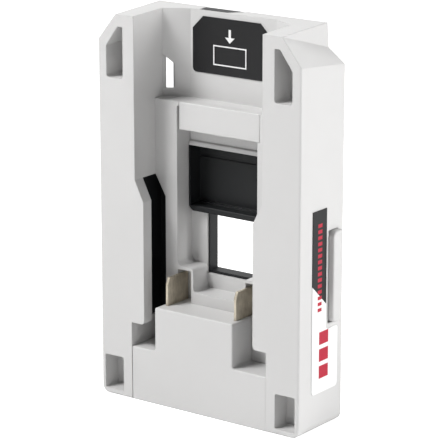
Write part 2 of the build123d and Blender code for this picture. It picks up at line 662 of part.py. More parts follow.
# Rail liners: black angles that line the grooves behind the rails
for side_name, side in (("left", -1), ("right", 1)):
    with BuildPart() as rail_liner:
        liner_outer = GROOVE_OUTER - SEAM
        liner_z = (RAIL_BOTTOM + SEAM, LEAD_IN_TOP - SEAM)
        liner_back = GROOVE_DEPTH - SEAM
        block((side * liner_outer, side * (liner_outer - LINER_THICK)), liner_z,
              (RAIL_THICK + SEAM, liner_back))
        back_wall = [
            (liner_outer, liner_z[1]),
            (CHANNEL_HALF + SEAM, liner_z[1]),
            (BLOCK_HALF + SEAM, LEAD_IN_BOTTOM),
            (BLOCK_HALF + SEAM, liner_z[0]),
            (liner_outer, liner_z[0]),
        ]
        prism(mirrored(back_wall, side), (liner_back - LINER_THICK, liner_back))
    finish(rail_liner, f"rail_liner_{side_name}")


# Contact blades: flat, with the front top corner cut and a tail to the rear at the foot
for side_name, blade_x in zip(("left", "right"), BLADE_X):
    with BuildPart() as blade:
        with BuildSketch(Plane.YZ.offset(blade_x - BLADE_THICK / 2)) as blade_outline:
            with BuildLine():
                Polyline(
                    (depth_y(BLADE_FRONT), BLADE_FOOT),
                    (depth_y(BLADE_TAIL_DEPTH), BLADE_FOOT),
                    (depth_y(BLADE_TAIL_DEPTH), BLADE_TAIL_Z),
                    (depth_y(BLADE_REAR), BLADE_TAIL_Z),
                    (depth_y(BLADE_REAR), BLADE_TOP),
                    (depth_y(BLADE_FRONT + BLADE_CUT[0]), BLADE_TOP),
                    (depth_y(BLADE_FRONT), BLADE_TOP - BLADE_CUT[1]),
                    close=True,
                )
            make_face()
        extrude(amount=BLADE_THICK)
        chamfer(blade.edges().filter_by(Axis.Z).group_by(Axis.Y)[0], BLADE_THICK / 4)
    finish(blade, f"blade_contact_{side_name}")


# Contact carrier: an insulating block between the blades, seated in the terminal cover
with BuildPart() as contact_carrier:
    carrier_left = BLADE_X[0] + BLADE_THICK / 2
    carrier_right = BLADE_X[1] - BLADE_THICK / 2
    carrier_front = TERMINAL_SET_BACK + TERMINAL_WALL
    carrier_bottom = BLADE_FOOT - FOOT_THICK
    block((carrier_left, carrier_right), (carrier_bottom, TERMINAL_TOP - TERMINAL_WALL),
          (carrier_front, BLOCK_DEPTH + INNER_WALL))
    block((carrier_left + TERMINAL_WALL, carrier_right - TERMINAL_WALL),
          (carrier_bottom + TERMINAL_WALL, TERMINAL_TOP - 2 * TERMINAL_WALL),
          (carrier_front + 2 * TERMINAL_WALL, BLOCK_DEPTH + INNER_WALL + PAST), Mode.SUBTRACT)
    # Feet under the blades' lower edges
    for blade_x in BLADE_X:
        block((blade_x - BLADE_THICK / 2, blade_x + BLADE_THICK / 2), (carrier_bottom, BLADE_FOOT),
              (carrier_front, BLOCK_DEPTH))
finish(contact_carrier, "contact_carrier")


# Bus bars from the blades' tails to the middle, and the output contacts that they carry
for side_name, blade_x, inward in zip(("left", "right"), BLADE_X, (1, -1)):
    blade_face = blade_x + inward * BLADE_THICK / 2
    strap_depths = (BLADE_TAIL_DEPTH - STRAP_THICK, BLADE_TAIL_DEPTH)
    output_x = blade_face + inward * STRAP_REACH
    with BuildPart() as bus_bar:
        block((blade_face, blade_face + inward * STRAP_THICK), (BLADE_FOOT, BLADE_TAIL_Z),
              (BLADE_REAR, strap_depths[1]))
        block((blade_face, output_x + inward * OUTPUT_SPREAD), (BLADE_FOOT, BLADE_TAIL_Z),
              strap_depths)
    finish(bus_bar, f"bus_bar_{side_name}")

    with BuildPart() as output_contact:
        base = (strap_depths[1], strap_depths[1] + OUTPUT_LEAF)
        block((output_x - OUTPUT_SPREAD / 2, output_x + OUTPUT_SPREAD / 2), OUTPUT_Z, base)
        for edge_side in (-1, 1):
            leaf_root = output_x + edge_side * OUTPUT_SPREAD / 2
            leaf_tip = output_x + edge_side * OUTPUT_LEAF / 2
            leaf = [
                (leaf_root - edge_side * OUTPUT_LEAF, base[0]),
                (leaf_root, base[0]),
                (leaf_tip + edge_side * OUTPUT_LEAF, CENTRE_BACK),
                (leaf_root, DEPTH - PAST),
                (leaf_root - edge_side * OUTPUT_LEAF, DEPTH - PAST),
                (leaf_tip, CENTRE_BACK),
            ]
            column(leaf, OUTPUT_Z)
    finish(output_contact, f"output_contact_{side_name}")


# Spring cover: a plate over the latch springs, on two ribs that stand on the back wall
with BuildPart() as spring_cover:
    cover_back = BLOCK_DEPTH + COVER_THICK
    block((-COVER_LEFT, COVER_RIGHT), (COVER_BOTTOM, LEDGE_Z), (BLOCK_DEPTH, cover_back))
    fillet(spring_cover.faces().sort_by(Axis.Y)[0].outer_wire().edges(), COVER_ROUND)
    for rib_x in (-COVER_RIB_X, COVER_RIB_X):
        block((rib_x - INNER_WALL / 2, rib_x + INNER_WALL / 2),
              (SHELF_Z + LATCH_TRAVEL + SLIDE_GAP, RECESS_TOP), (cover_back, RECESS_DEPTH))
finish(spring_cover, "spring_cover")


# Latch slide: a cross bar with an apron and a spring shelf above it, and two wings that run
# between the housing and the rear frame
with BuildPart() as latch_slide:
    block(SLIDE_SIDES, (SCOOP_Z[1], BAR_TOP), (SCOOP_FRONT, WING_DEPTHS[1]))
    fillet(latch_slide.faces().sort_by(Axis.Y)[0].outer_wire().edges(), SCOOP_ROUND)
    block(SLIDE_SIDES, (BAR_TOP, APRON_TOP), (APRON_BACK - APRON_THICK, APRON_BACK))
    block(SLIDE_SIDES, (APRON_TOP, SHELF_Z), (SHELF_FRONT, APRON_BACK))
    for side, slide_edge in zip((-1, 1), SLIDE_SIDES):
        block((slide_edge, slide_edge + side * WING_REACH), (WING_Z, BAR_TOP), WING_DEPTHS)
        with BuildSketch(Plane.XY.offset(SHELF_Z)) as shelf_spigot:
            with Locations((side * LATCH_SPRING_X, depth_y(LATCH_SPRING_DEPTH))):
                Circle(SPIGOT_RADIUS)
        extrude(shelf_spigot.sketch, amount=SPIGOT_TALL)
finish(latch_slide, "latch_slide")


# Finger scoop: an open-fronted black box under the bar, dished for a fingertip
with BuildPart() as finger_scoop:
    with BuildSketch(at_depth(SCOOP_FRONT)) as scoop_outline:
        with Locations((sum(SLIDE_SIDES) / 2, sum(SCOOP_Z) / 2)):
            Rectangle(SLIDE_SIDES[1] - SLIDE_SIDES[0], SCOOP_Z[1] - SCOOP_Z[0])
        chamfer(scoop_outline.vertices().group_by(Axis.Y)[0], SCOOP_CHAMFER)
    extrude(amount=SCOOP_FRONT - SCOOP_BACK)
    dish_sides = (SLIDE_SIDES[0] + SCOOP_WALL, SLIDE_SIDES[1] - SCOOP_WALL)
    dish_bottom = SCOOP_Z[0] + SCOOP_RIM
    block(dish_sides, (dish_bottom, SCOOP_Z[1] + PAST), (SCOOP_FRONT - PAST, SCOOP_FLOOR),
          Mode.SUBTRACT)
    block(dish_sides, (dish_bottom, dish_bottom + SCOOP_STEP[0]),
          (SCOOP_FLOOR - SCOOP_STEP[1], SCOOP_FLOOR))
    block(dish_sides, SCOOP_GROOVE_Z, (SCOOP_FLOOR - PAST, SCOOP_FLOOR + SCOOP_GROOVE_DEEP),
          Mode.SUBTRACT)
    rim_edges = finger_scoop.edges().filter_by(Axis.X).filter_by(
        lambda one: abs(one.center().Z - dish_bottom) < SEAM
        and abs(one.center().Y - depth_y(SCOOP_FRONT)) < SEAM)
    fillet(rim_edges, SCOOP_ROUND)
finish(finger_scoop, "finger_scoop")


# Latch springs
for side_name, side in (("left", -1), ("right", 1)):
    axis_spot = (side * LATCH_SPRING_X, depth_y(LATCH_SPRING_DEPTH), 0)
    coil = spring(f"latch_spring_{side_name}", LATCH_SPRING_RADIUS, LATCH_SPRING_WIRE,
                  LATCH_SPRING_TURNS, (SHELF_Z, RECESS_TOP), Plane(origin=axis_spot))
    finish(coil, f"latch_spring_{side_name}")


# Release buttons and their springs
for side_name, side in (("left", -1), ("right", 1)):
    flange_outer = HALF - SIDE_WALL - SLIDE_GAP
    flange_inner = flange_outer - BUTTON_FLANGE
    flange_z = (BUTTON_Z[0] - BUTTON_LIP, BUTTON_Z[1] + BUTTON_LIP)
    flange_depths = (BUTTON_DEPTHS[0] - BUTTON_LIP, BUTTON_DEPTHS[1] + BUTTON_LIP / 2)
    middle = sum(BUTTON_Z) / 2
    with BuildPart() as release_button:
        block((side * flange_inner, side * flange_outer), flange_z, flange_depths)
        with BuildSketch(Plane.YZ.offset(side * flange_outer)) as tab_outline:
            with Locations((depth_y(sum(BUTTON_DEPTHS) / 2), middle)):
                Rectangle(BUTTON_DEPTHS[1] - BUTTON_DEPTHS[0], BUTTON_Z[1] - BUTTON_Z[0])
            fillet(tab_outline.vertices().group_by(Axis.X)[0], BUTTON_CORNER)
        extrude(tab_outline.sketch, amount=side * (SIDE_WALL + SLIDE_GAP + BUTTON_PROUD))
        outer_face = release_button.faces().sort_by(Axis.X)[0 if side < 0 else -1]
        fillet(outer_face.outer_wire().edges(), EDGE_ROUND)
        block((side * flange_inner, side * (flange_inner - CATCH_THICK)), CATCH_Z, CATCH_DEPTHS)
        nose = [
            (side * flange_inner, flange_depths[1]),
            (side * (flange_inner - CATCH_THICK), CATCH_DEPTHS[1]),
            (side * (flange_inner + CATCH_NOSE), CATCH_DEPTHS[1]),
            (side * (flange_inner + CATCH_NOSE), flange_depths[1]),
        ]
        column(nose, CATCH_Z)
        with BuildSketch(Plane.YZ.offset(side * flange_inner)) as button_spigot:
            with Locations((depth_y(BUTTON_SPRING_DEPTH), middle)):
                Circle(BUTTON_SPIGOT)
        extrude(button_spigot.sketch, amount=-side * BUTTON_FLANGE)
    finish(release_button, f"release_button_{side_name}")

    spring_axis = Plane(origin=(0, depth_y(BUTTON_SPRING_DEPTH), middle), x_dir=(0, 1, 0),
                        z_dir=(side, 0, 0))
    coil = spring(f"button_spring_{side_name}", BUTTON_SPRING_RADIUS, BUTTON_SPRING_WIRE,
                  BUTTON_SPRING_TURNS, (HOLLOW_LOW, flange_inner), spring_axis)
    finish(coil, f"button_spring_{side_name}")


# Rear frame: the black plate behind the channel, with its collar round the window
with BuildPart() as rear_frame:
    block((-FRAME_HALF, FRAME_HALF), (FRAME_BOTTOM, FRAME_TOP), (CENTRE_BACK, DEPTH),
          corner=POCKET_CORNER)
    collar_half = WINDOW_HALF - SEAM
    collar_bottom = WINDOW_BOTTOM + SEAM
    block((-collar_half, collar_half), (collar_bottom, SCOOP_OPENING_BOTTOM),
          (COLLAR_DEPTH, CENTRE_BACK))
    block((-FRAME_WINDOW_HALF, FRAME_WINDOW_HALF), (FRAME_WINDOW_BOTTOM, SCOOP_OPENING_TOP),
          (COLLAR_DEPTH - PAST, DEPTH + PAST), Mode.SUBTRACT)
    block((-RECESS_LEFT, RECESS_LEFT), (SCOOP_OPENING_BOTTOM, SCOOP_OPENING_TOP),
          (CENTRE_BACK - PAST, DEPTH + PAST), Mode.SUBTRACT)
    # Pocket where the wings of the latch slide run
    block((-RECESS_LEFT - WING_REACH, RECESS_LEFT + WING_REACH),
          (WING_Z - SLIDE_GAP, BAR_TOP + LATCH_TRAVEL + SLIDE_GAP),
          (CENTRE_BACK - PAST, WING_DEPTHS[1] + SLIDE_GAP), Mode.SUBTRACT)
    # Side openings that the hook slots lead out through
    for side in (-1, 1):
        block((side * (FRAME_HALF + PAST), side * (LABEL_WALL_HALF + INNER_WALL)), HOOK_BAY_Z,
              (CENTRE_BACK - PAST, DEPTH + PAST), Mode.SUBTRACT)
    # Output slots over the output contacts
    for blade_x, inward in zip(BLADE_X, (1, -1)):
        output_x = blade_x + inward * (BLADE_THICK / 2 + STRAP_REACH)
        block((output_x - OUTPUT_SPREAD / 2 - SEAM, output_x + OUTPUT_SPREAD / 2 + SEAM),
              (OUTPUT_Z[0] - SEAM, OUTPUT_Z[1] + SEAM),
              (CENTRE_BACK - PAST, DEPTH + PAST), Mode.SUBTRACT)
    # Lug that shows in the top edge of the housing
    lug = [
        (LUG_FRONT[0], LUG_DEPTH),
        (LUG_REAR[0], DEPTH),
        (LUG_REAR[1], DEPTH),
        (LUG_FRONT[1], LUG_DEPTH),
    ]
    column(lug, (FRAME_TOP, HEIGHT - TOP_FALL * (1 - LUG_DEPTH / DEPTH)))
    # Grip ribs sunk into the rear face
    for row in range(GRIP_COUNT):
        rib_z = SCOOP_OPENING_TOP + 2 * GRIP_STEP + row * GRIP_STEP
        block((GRIP_STEP - RECESS_LEFT, RECESS_LEFT - GRIP_STEP), (rib_z, rib_z + GRIP_STEP / 2),
              (DEPTH - GRIP_DEPTH, DEPTH + PAST), Mode.SUBTRACT)
    screw_holes(FRAME_SCREWS, DEPTH, CENTRE_BACK)
finish(rear_frame, "rear_frame")


# Rear cover: a frame round the rear frame that closes the side hollows
with BuildPart() as rear_cover:
    inset = SIDE_WALL + SEAM
    rim = [(across - SEAM, height - SEAM) for across, height in hollow_top]
    plate = [
        (-HALF + inset, inset),
        (HALF - inset, inset),
        *rim,
        *reversed(mirrored(rim, -1)),
    ]
    prism(plate, (COVER_FRONT, DEPTH))
    block((-FRAME_HALF - SLIDE_GAP, FRAME_HALF + SLIDE_GAP), (FRAME_BOTTOM - SLIDE_GAP, HEIGHT),
          (COVER_FRONT - PAST, DEPTH + PAST), Mode.SUBTRACT)
    for spot in COVER_SCREWS:
        rod(spot, (COVER_FRONT - HEAD_SEAT, COVER_FRONT), COVER_BOSS_RADIUS)
    screw_holes(COVER_SCREWS, DEPTH - SEAM, COVER_FRONT - HEAD_SEAT)
    # Slots that the catches of the release buttons reach through
    for side in (-1, 1):
        catch_out = HALF - SIDE_WALL - SLIDE_GAP - BUTTON_FLANGE
        block((side * (catch_out - CATCH_THICK - BUTTON_TRAVEL - 2 * SLIDE_GAP),
               side * (catch_out + CATCH_NOSE + 2 * SLIDE_GAP)),
              (CATCH_Z[0] - 2 * SLIDE_GAP, CATCH_Z[1] + 2 * SLIDE_GAP),
              (COVER_FRONT - PAST, DEPTH + PAST), Mode.SUBTRACT)
        block((side * FRAME_HALF, side * HOOK_EXIT), HOOK_BAY_Z,
              (COVER_FRONT - PAST, DEPTH + PAST), Mode.SUBTRACT)
finish(rear_cover, "rear_cover")


# Screws, each group in one node
screw_sets = {
    "rear_cover_screws": (COVER_SCREWS, DEPTH - SEAM),
    "frame_screws": (FRAME_SCREWS, DEPTH),
    "terminal_cover_screws": (TERMINAL_SCREWS, GROOVE_DEPTH + INNER_WALL + HEAD_TALL),
}
for set_name, (spots, head_depth) in screw_sets.items():
    with BuildPart() as screws:
        screw_group(spots, head_depth)
    finish(screws, set_name)


# Labels: thin sheets, one on the label wall and one on the right side
with BuildPart() as front_label:
    left, right, low, high = FRONT_LABEL
    with BuildSketch(at_depth(LABEL_WALL_DEPTH - LABEL_THICK)) as label_outline:
        with Locations(((left + right) / 2, (low + high) / 2)):
            Rectangle(right - left, high - low)
        chamfer(corners_at(label_outline, high)[0], FRONT_LABEL_CHAMFERS[0])
        chamfer(corners_at(label_outline, high)[-1], FRONT_LABEL_CHAMFERS[1])
        fillet(label_outline.vertices().group_by(Axis.Y)[0], FRONT_LABEL_CORNER)
    extrude(amount=-LABEL_THICK)
finish(front_label, "front_label")

with BuildPart() as side_label:
    near, far = (depth_y(depth) for depth in SIDE_LABEL_DEPTHS)
    wide = depth_y(SIDE_LABEL_WIDE)
    with BuildSketch(Plane.YZ.offset(HALF)) as side_outline:
        with BuildLine():
            Polyline((far, SIDE_LABEL_SHOULDER[1]), (far, SIDE_LABEL_TOP), (near, SIDE_LABEL_TOP),
                     (near, SIDE_LABEL_BOTTOM), (wide, SIDE_LABEL_BOTTOM),
                     (wide, SIDE_LABEL_SHOULDER[0]))
            Spline((wide, SIDE_LABEL_SHOULDER[0]), (far, SIDE_LABEL_SHOULDER[1]),
                   tangents=((0, 1), (0, 1)))
        make_face()
        fillet(side_outline.vertices().group_by(Axis.Y)[0], FRONT_LABEL_CORNER)
    extrude(amount=LABEL_THICK)
finish(side_label, "side_label")

print(len(finished), "pieces:", ", ".join(finished))
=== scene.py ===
# %% [markdown]
# A battery adapter, dressed for its photograph.
# The construction model gives every piece at its real size. This notebook adds what a lens would see:
# moulded plastic with a fine grain, nickel-plated blades, printed labels, wound springs and screw heads.
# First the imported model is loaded. Nothing here moves or reshapes it.

# %% Load the construction model
import json
import math

import bpy
import numpy as np
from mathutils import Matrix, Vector


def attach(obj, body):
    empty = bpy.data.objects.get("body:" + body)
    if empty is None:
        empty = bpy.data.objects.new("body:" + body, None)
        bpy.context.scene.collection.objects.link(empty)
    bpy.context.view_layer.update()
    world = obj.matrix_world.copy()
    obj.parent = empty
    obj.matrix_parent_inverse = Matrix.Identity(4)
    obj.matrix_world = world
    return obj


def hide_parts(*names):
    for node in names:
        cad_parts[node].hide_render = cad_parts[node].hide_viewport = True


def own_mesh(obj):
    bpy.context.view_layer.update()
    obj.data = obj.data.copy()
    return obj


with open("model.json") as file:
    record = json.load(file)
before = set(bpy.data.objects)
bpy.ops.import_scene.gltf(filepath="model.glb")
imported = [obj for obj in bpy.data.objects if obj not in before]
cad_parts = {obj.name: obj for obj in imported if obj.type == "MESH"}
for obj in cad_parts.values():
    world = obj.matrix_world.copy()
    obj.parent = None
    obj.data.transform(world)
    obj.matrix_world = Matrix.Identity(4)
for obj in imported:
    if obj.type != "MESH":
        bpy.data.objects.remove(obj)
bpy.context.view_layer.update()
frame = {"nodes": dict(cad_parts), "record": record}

nodes = frame["nodes"]
print("pieces in the frame:", len(nodes))

# %% [markdown]
# Sizes are easiest to read in millimetres, while Blender works in metres here. The helper below turns
# one into the other. The depth of a feature is counted from the front face, as a caliper would take it.

# %% Units and reference sizes
MM = 0.001
DEPTH = 25.4
HALF_DEPTH = DEPTH / 2


def mm(*values):
    """Lengths in millimetres as metres: one number, or a vector of three."""
    if len(values) == 1:
        return values[0] * MM
    return Vector([value * MM for value in values])


def spot(across, depth, height):
    """A point given across, in depth behind the front face, and in height, in millimetres."""
    return mm(across, depth - HALF_DEPTH, height)


print("front face at y =", mm(-HALF_DEPTH))

# %% [markdown]
# The camera is a long lens, 200 mm on a 36 mm wide sensor, standing 83 cm away. A long lens keeps the
# upright edges nearly parallel, which is how catalogue pictures are taken. It looks from the right,
# a little above, and the photograph is square, so the sensor's full width is used.

# %% Camera
LENS = 200.43
SENSOR = 36.0
AZIMUTH = math.radians(36.51)
ELEVATION = math.radians(15.13)
DISTANCE = 0.82684
LOOK_AT = spot(9.66, 0, 71.63)

away = Vector((math.sin(AZIMUTH) * math.cos(ELEVATION), -math.cos(AZIMUTH) * math.cos(ELEVATION),
               math.sin(ELEVATION)))
lens = bpy.data.cameras.new("photo_camera")
lens.lens = LENS
lens.sensor_width = SENSOR
lens.sensor_fit = "HORIZONTAL"
lens.clip_start = 0.01
camera = bpy.data.objects.new("photo_camera", lens)
camera.location = LOOK_AT + away * DISTANCE
camera.rotation_euler = (-away).to_track_quat("-Z", "Y").to_euler()
bpy.context.collection.objects.link(camera)
bpy.context.scene.camera = camera
print("camera at", tuple(round(value, 3) for value in camera.location))

# %% [markdown]
# Shader maths reads best as plain sums. The class below wraps one output of a node, so that
# `1 - mask * 0.5` adds the Math nodes itself. One method adds every other kind of node.

# %% A wire that can be written in sums


class Wire:
    """An output socket in a material, with arithmetic that adds Math nodes."""

    def __init__(self, tree, socket):
        self.tree = tree
        self.socket = socket

    def add(self, kind, settings=None, inputs=None, output=0):
        """Adds any node: its settings first, then the values or wires of its sockets."""
        node = self.tree.nodes.new(kind)
        for key, value in (settings or {}).items():
            setattr(node, key, value)
        for key, value in (inputs or {}).items():
            if isinstance(value, Wire):
                self.tree.links.new(value.socket, node.inputs[key])
            else:
                node.inputs[key].default_value = value
        return Wire(self.tree, node.outputs[output])

    def math(self, operation, *values):
        """A Math node on the values, in their order."""
        return self.add("ShaderNodeMath", {"operation": operation}, dict(enumerate(values)))

    def __add__(self, other):
        return self.math("ADD", self, other)

    def __radd__(self, other):
        return self.math("ADD", other, self)

    def __sub__(self, other):
        return self.math("SUBTRACT", self, other)

    def __rsub__(self, other):
        return self.math("SUBTRACT", other, self)

    def __mul__(self, other):
        return self.math("MULTIPLY", self, other)

    def __rmul__(self, other):
        return self.math("MULTIPLY", other, self)

    def __gt__(self, other):
        return self.math("GREATER_THAN", self, other)

    def __lt__(self, other):
        return self.math("LESS_THAN", self, other)

    def between(self, low, high):
        """1 where the value lies between two limits, otherwise 0."""
        return (self > low) * (self < high)

    def most(self, other):
        """The larger of two values, which joins two masks."""
        return self.math("MAXIMUM", self, other)

    def mix(self, first, second):
        """A colour that goes from the first to the second as this value goes from 0 to 1."""
        return self.add("ShaderNodeMix", {"data_type": "RGBA"},
                        {"Factor": self, 6: first, 7: second}, 2)


# %% [markdown]
# Every finish starts from the point on the piece, so a pattern keeps its place when the piece moves.
# The class below holds what all finishes share: that point, noise in sizes of millimetres, and a relief
# that also softens the sharp edges of the construction model. A modelled bevel would do the same on
# a few edges, but it would change the construction pieces, which stay as they are.

# %% A finish to draw in


class Finish:
    """A new material: a place to draw the wires of one finish."""

    def __init__(self, name):
        self.material = bpy.data.materials.new(name)
        self.material.use_nodes = True
        self.tree = self.material.node_tree
        self.tree.nodes.clear()
        self.start = Wire(self.tree, None)
        self.place = self.start.add("ShaderNodeTexCoord", output="Object")
        self.out = self.tree.nodes.new("ShaderNodeOutputMaterial")

    def coordinates(self):
        """The place on the object as three wires, in millimetres."""
        node = self.tree.nodes.new("ShaderNodeSeparateXYZ")
        self.tree.links.new(self.place.socket, node.inputs[0])
        return [Wire(self.tree, output) * (1 / MM) for output in node.outputs]

    def noise(self, size_mm, detail=2.0, stretch=(1, 1, 1)):
        """Cloudy noise with features of about this size, drawn out along an axis by stretch."""
        place = self.start.add("ShaderNodeMapping", {}, {"Vector": self.place, "Scale": stretch})
        return self.start.add("ShaderNodeTexNoise", {},
                              {"Vector": place, "Scale": 1 / mm(size_mm), "Detail": detail})

    def relief(self, height, depth_mm, edge_mm):
        """A normal with softened edges and a fine relief of this depth."""
        rounded = self.start.add("ShaderNodeBevel", {"samples": 4}, {"Radius": mm(edge_mm)})
        return self.start.add("ShaderNodeBump", {},
                              {"Height": height, "Distance": mm(depth_mm), "Normal": rounded})

    def skin(self, **sockets):
        """The surface itself, from values or wires for its sockets."""
        named = {key.replace("_", " "): value for key, value in sockets.items()}
        surface = self.start.add("ShaderNodeBsdfPrincipled", {}, named)
        self.tree.links.new(surface.socket, self.out.inputs["Surface"])
        return self.material


print("shader kit ready")

# %% [markdown]
# Catalogue light is a white tent. The camera sees its wall as pure white. What reaches the object is
# dimmer and uneven, so that each side has a level of its own. One soft lamp stands high on the left in
# front, and lights the front and every shelf. One stands on the right, a little behind, and skims past
# the channel: the side reads as the lightest face while the channel's inner walls stay grey.

# %% Surround and lamps
SEEN = 1.0
FELT = 0.03
FELT_FROM_RIGHT = 0.34
FELT_FROM_LEFT = 0.46
FELT_FROM_BEHIND = 0.80
WHITE = (1, 1, 1, 1)

world = bpy.data.worlds.new("white_tent")
world.use_nodes = True
world.node_tree.nodes.clear()
air = Wire(world.node_tree, None)
direction = air.add("ShaderNodeTexCoord", output="Generated")
toward_x = air.add("ShaderNodeSeparateXYZ", {}, {0: direction}, 0)
toward_y = air.add("ShaderNodeSeparateXYZ", {}, {0: direction}, 1)
felt = ((toward_x * FELT_FROM_RIGHT).most(0.0) + (toward_x * -FELT_FROM_LEFT).most(0.0)
        + (toward_y * FELT_FROM_BEHIND).most(0.0) + FELT)
seen_wall = air.add("ShaderNodeBackground", {}, {"Color": WHITE, "Strength": SEEN})
felt_wall = air.add("ShaderNodeBackground", {}, {"Color": WHITE, "Strength": felt})
by_camera = air.add("ShaderNodeLightPath", output="Is Camera Ray")
tent = air.add("ShaderNodeMixShader", {}, {0: by_camera, 1: felt_wall, 2: seen_wall})
tent_out = world.node_tree.nodes.new("ShaderNodeOutputWorld")
world.node_tree.links.new(tent.socket, tent_out.inputs["Surface"])
bpy.context.scene.world = world
bpy.context.scene.view_settings.view_transform = "Standard"

# Each lamp's place and side length are in metres, its power in watts
LAMPS = {
    "side_lamp": ((0.80, 0.22, 0.30), 0.45, 5.1),
    "high_lamp": ((-0.35, -0.50, 0.85), 0.35, 10.2),
}
LIT_POINT = spot(0, HALF_DEPTH, 70)


def soft_lamp(name, place, aim, size, watts):
    """A square soft lamp at a place, turned to the point it lights."""
    data = bpy.data.lights.new(name, "AREA")
    data.shape = "SQUARE"
    data.size = size
    data.energy = watts
    lamp = bpy.data.objects.new(name, data)
    lamp.location = place
    lamp.rotation_euler = (aim - place).to_track_quat("-Z", "Y").to_euler()
    bpy.context.collection.objects.link(lamp)


for lamp_name, (lamp_place, lamp_size, lamp_watts) in LAMPS.items():
    soft_lamp(lamp_name, Vector(lamp_place), LIT_POINT, lamp_size, lamp_watts)
print("lamps:", sorted(one.name for one in bpy.data.lights))

# %% [markdown]
# The floor is a plain pale sheet. It is staged, so it isn't part of the object. To the camera it glows
# a little, which keeps it as white as the tent and leaves only a faint shadow.

# %% Floor
FLOOR_HALF = 3.0
FLOOR_DROP = 0.05
FLOOR_GLOW = 0.6


def surface_object(name, points, faces, smooth=True):
    """A mesh object made from arrays of points and faces, with its place in its mesh."""
    mesh = bpy.data.meshes.new(name)
    mesh.from_pydata(np.asarray(points, float).tolist(), [], faces)
    mesh.update()
    if smooth:
        mesh.shade_smooth()
    made = bpy.data.objects.new(name, mesh)
    bpy.context.collection.objects.link(made)
    return made


def grey(level, warmth=0.0):
    """A neutral colour with a little more red than blue, or less where the warmth is negative."""
    return (level + warmth, level, level - warmth, 1.0)


floor_corners = np.array([[-1, -1], [1, -1], [1, 1], [-1, 1]]) * FLOOR_HALF
floor_points = np.c_[floor_corners, np.full(4, -mm(FLOOR_DROP))]
floor = surface_object("floor", floor_points, [[0, 1, 2, 3]], smooth=False)

pale_floor = Finish("pale_floor")
glow = pale_floor.start.add("ShaderNodeLightPath", output="Is Camera Ray").mix(grey(0.0), grey(1.0))
floor.data.materials.append(pale_floor.skin(Base_Color=grey(0.92), Roughness=0.9,
                                            Emission_Color=glow, Emission_Strength=FLOOR_GLOW))
print("floor", 2 * FLOOR_HALF, "m wide")

# %% [markdown]
# Moulded plastic isn't one flat colour. The tool that moulds it is spark-eroded, which leaves a fine
# grain on every face, and a large part shows soft clouds where the melt flowed. Handling rubs a slight
# shine onto it. A scanned picture could give the same, but noise has no seams and no end, and the same
# recipe then serves the pale housing and the black parts with other values.

# %% Moulded plastics
CLOUD_SIZE = 28.0
CLOUD_SHARE = 0.8
RUB_SIZE = 6.0
RUB_SPREAD = 0.10


def moulded(name, colour, darker, roughness, grain_mm, grain_depth_mm, edge_mm, shine=0.5):
    """Moulded plastic: a spark-eroded grain, soft flow clouds and a slightly rubbed shine."""
    finish = Finish(name)
    grain = finish.noise(grain_mm, 3.0)
    clouds = finish.noise(CLOUD_SIZE, 2.0)
    rubbed = finish.noise(RUB_SIZE, 4.0)
    tone = (clouds * CLOUD_SHARE + rubbed * (1 - CLOUD_SHARE)).mix(darker, colour)
    return finish.skin(
        Base_Color=tone,
        Roughness=rubbed * RUB_SPREAD + (roughness - RUB_SPREAD / 2),
        Normal=finish.relief(grain, grain_depth_mm, edge_mm),
        Specular_IOR_Level=shine,
    )


housing_plastic = moulded("housing_plastic", grey(0.60, 0.004), grey(0.56, 0.004), roughness=0.42,
                          grain_mm=0.35, grain_depth_mm=0.012, edge_mm=0.45)
black_plastic = moulded("black_plastic", grey(0.016, -0.001), grey(0.009, -0.001), roughness=0.42,
                        grain_mm=0.30, grain_depth_mm=0.030, edge_mm=0.30, shine=0.28)
insulator_plastic = moulded("insulator_plastic", grey(0.05), grey(0.035), roughness=0.5,
                            grain_mm=0.4, grain_depth_mm=0.02, edge_mm=0.2)
print("plastics drawn")

# %% [markdown]
# The blades are stamped from strip and nickel plated, so they carry fine lines along the strip and a
# warm, slightly yellow shine. The springs are drawn wire, the screws zinc plated. One recipe with noise
# that is long in one direction gives all three. Modelled scratches would be far below a pixel.

# %% Metals
STREAK_CONTRAST = 2.4
STREAK_WIDTH = 0.25
STREAK_DEPTH = 0.004
STAIN_SIZE = 3.0
PLATE_SPREAD = 0.12


def plated(name, colour, darker, roughness, stretch, edge_mm=0.12):
    """Plated metal with fine drawn lines: noise that is long in one direction, made stronger."""
    finish = Finish(name)
    lines = finish.noise(STREAK_WIDTH, 3.0, stretch)
    stains = finish.noise(STAIN_SIZE, 3.0)
    streaks = (lines * 0.5 + stains * 0.5 - 0.5) * STREAK_CONTRAST + 0.5
    return finish.skin(
        Base_Color=streaks.mix(darker, colour),
        Metallic=1.0,
        Roughness=lines * PLATE_SPREAD + (roughness - PLATE_SPREAD / 2),
        Normal=finish.relief(lines, STREAK_DEPTH, edge_mm),
    )


contact_metal = plated("contact_metal", (0.78, 0.71, 0.58, 1), (0.42, 0.37, 0.29, 1),
                       roughness=0.38, stretch=(1, 1, 0.06))
spring_steel = plated("spring_steel", (0.55, 0.55, 0.56, 1), (0.35, 0.35, 0.37, 1),
                      roughness=0.3, stretch=(1, 1, 1), edge_mm=0.05)
screw_steel = plated("screw_steel", (0.34, 0.34, 0.36, 1), (0.20, 0.20, 0.22, 1),
                     roughness=0.35, stretch=(1, 0.1, 1))
print("metals drawn")

# %% [markdown]
# Both labels are printed film. The front one is black with a plain drawing of a pack and an arrow that
# shows which way it slides in. All of it is drawn by testing where a point lies, so the print stays
# sharp at any distance, which a small picture wouldn't.

# %% Front label
INK_WHITE = (0.80, 0.80, 0.80, 1)
INK_BLACK = (0.010, 0.010, 0.011, 1)
INK_RED = (0.42, 0.012, 0.035, 1)
FILM_ROUGHNESS = 0.30
FILM_SPREAD = 0.08
FILM_SHINE = 0.3

